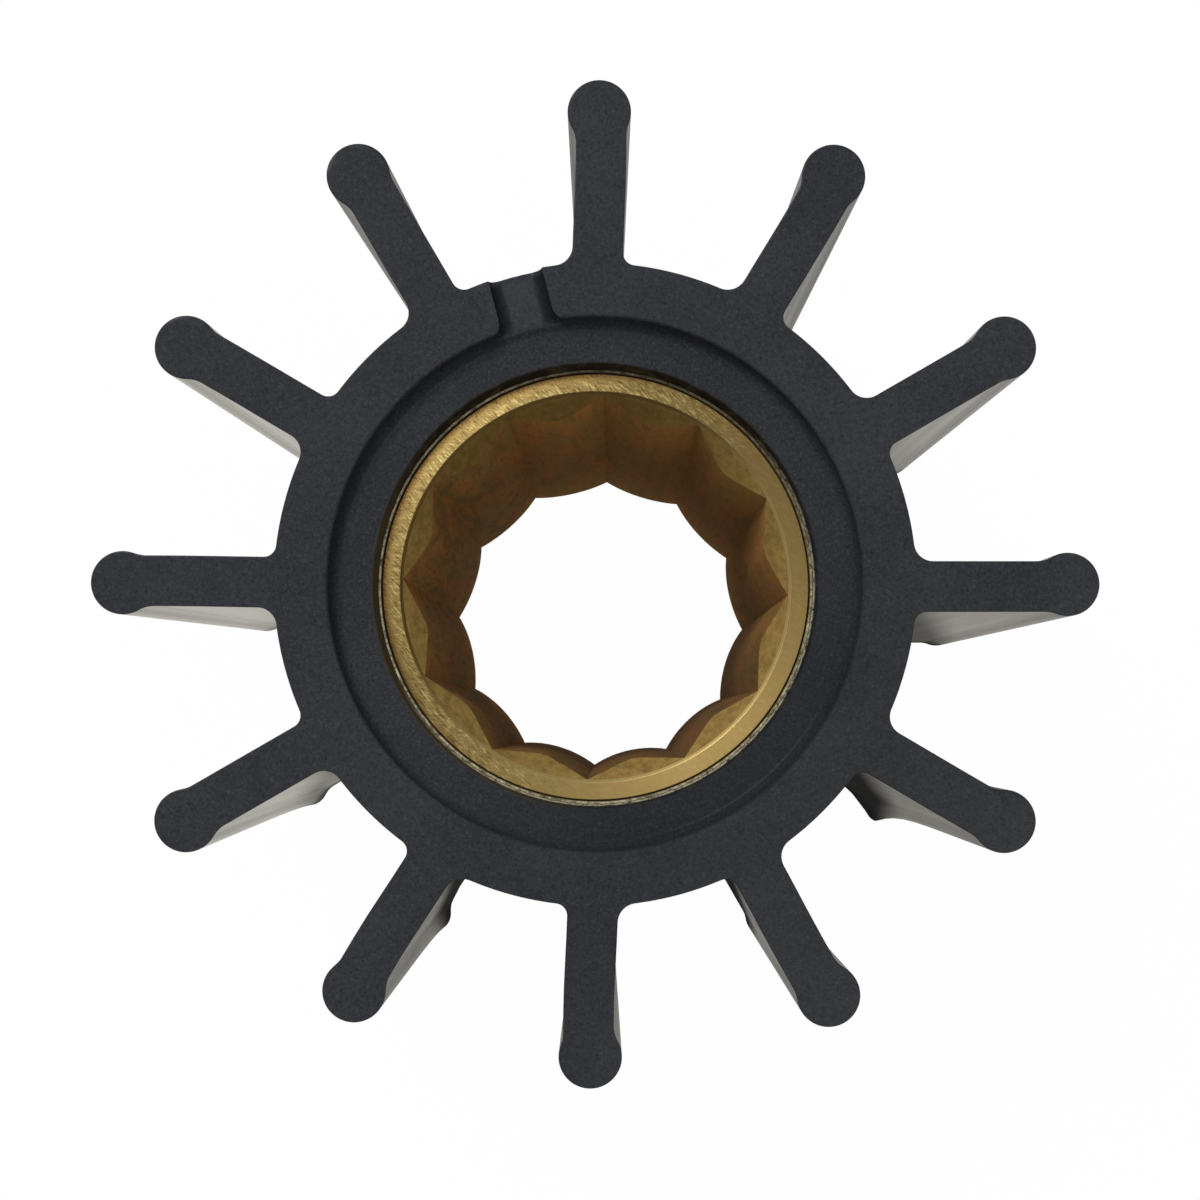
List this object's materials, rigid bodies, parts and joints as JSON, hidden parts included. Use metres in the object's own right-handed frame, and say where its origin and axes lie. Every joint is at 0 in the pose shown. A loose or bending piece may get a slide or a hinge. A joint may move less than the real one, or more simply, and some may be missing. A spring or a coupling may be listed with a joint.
{
  "type": "rubber pump impeller",
  "caption": "Flexible rubber pump impeller with straight bulb-tipped blades moulded round a brass bush with a splined bore.",
  "frame": {"origin": "on the impeller's axis, at the lower end face that it stands on", "axes": "+Z along the axis, towards the end face with the vent slot; +X along the first blade"},
  "size_m": [0.0952, 0.0952, 0.0635],
  "materials": {
    "rubber": "matte",
    "brass": "turned"
  },
  "bodies": {
    "root": {"rubber_body": "rubber", "splined_bush": "brass"}
  },
  "joints": []
}
